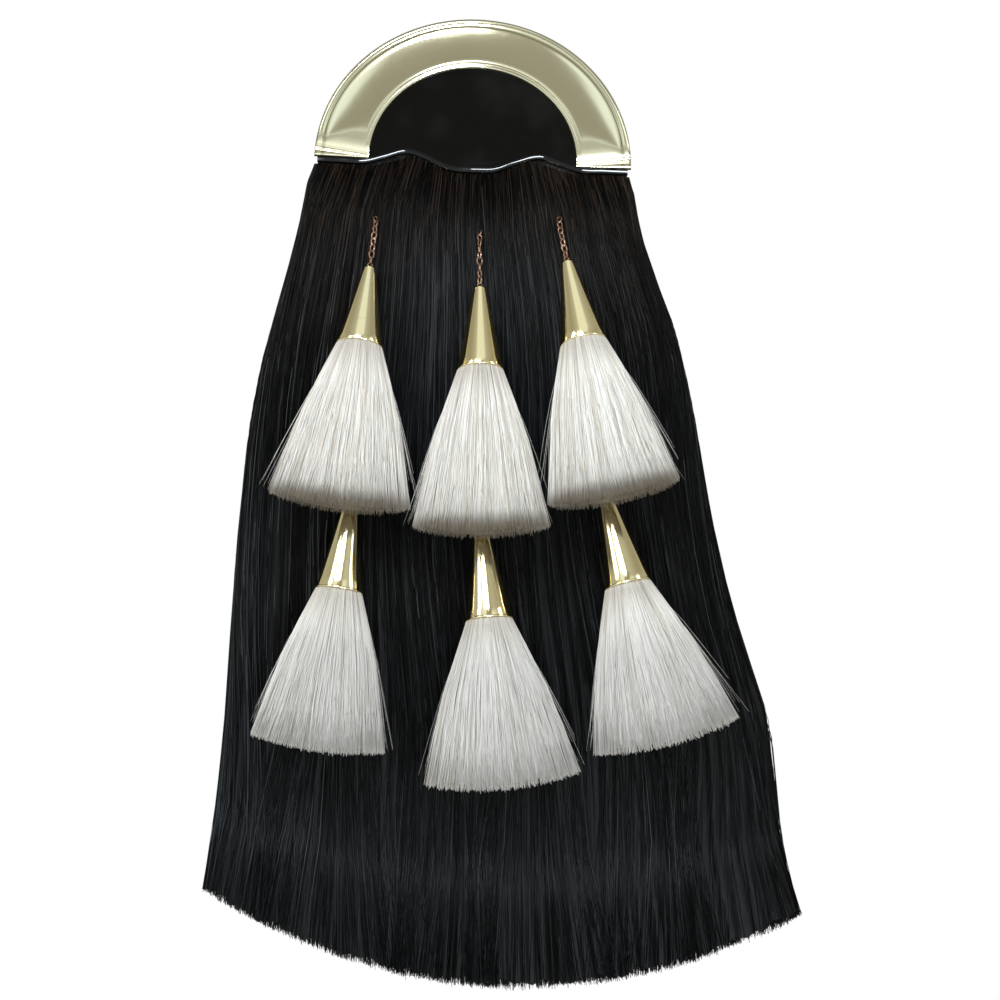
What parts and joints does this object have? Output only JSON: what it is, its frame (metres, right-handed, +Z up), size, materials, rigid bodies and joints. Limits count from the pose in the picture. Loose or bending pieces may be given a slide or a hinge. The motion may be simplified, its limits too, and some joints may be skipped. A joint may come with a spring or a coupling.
{
  "type": "hair sporran pouch",
  "caption": "Hanging hair sporran: leather pouch with a long horsehair skirt, a brass half-ring cantle over a patent panel, and hair tassels in brass cones on chains.",
  "frame": {"origin": "middle of the line that the waist strap takes through the two loops on the back", "axes": "+Z up as it hangs, -Y out of its front, +X to the right seen from the front"},
  "size_m": [0.302, 0.1067, 0.483],
  "materials": {
    "cantle_brass": "polished pale brass",
    "cone_brass": "polished brass",
    "chain_bronze": "darkened copper-brown wire",
    "patent_leather": "high gloss black patent",
    "pouch_leather": "semi-matt black grained leather",
    "black_hair": "long combed horsehair with a soft sheen",
    "white_hair": "straight cream-white horsehair"
  },
  "bodies": {
    "root": {"pouch_back": "pouch_leather", "pouch_front": "pouch_leather", "pouch_gusset": "pouch_leather", "strap_loop_left": "pouch_leather", "strap_loop_right": "pouch_leather", "front_panel": "patent_leather", "cantle": "cantle_brass", "hair_skirt": "black_hair", "cone_upper_left": "cone_brass", "brush_upper_left": "white_hair", "chain_upper_left": "chain_bronze", "cone_upper_middle": "cone_brass", "brush_upper_middle": "white_hair", "chain_upper_middle": "chain_bronze", "cone_upper_right": "cone_brass", "brush_upper_right": "white_hair", "chain_upper_right": "chain_bronze", "cone_lower_left": "cone_brass", "brush_lower_left": "white_hair", "chain_lower_left": "chain_bronze", "cone_lower_middle": "cone_brass", "brush_lower_middle": "white_hair", "chain_lower_middle": "chain_bronze", "cone_lower_right": "cone_brass", "brush_lower_right": "white_hair", "chain_lower_right": "chain_bronze"}
  },
  "joints": []
}
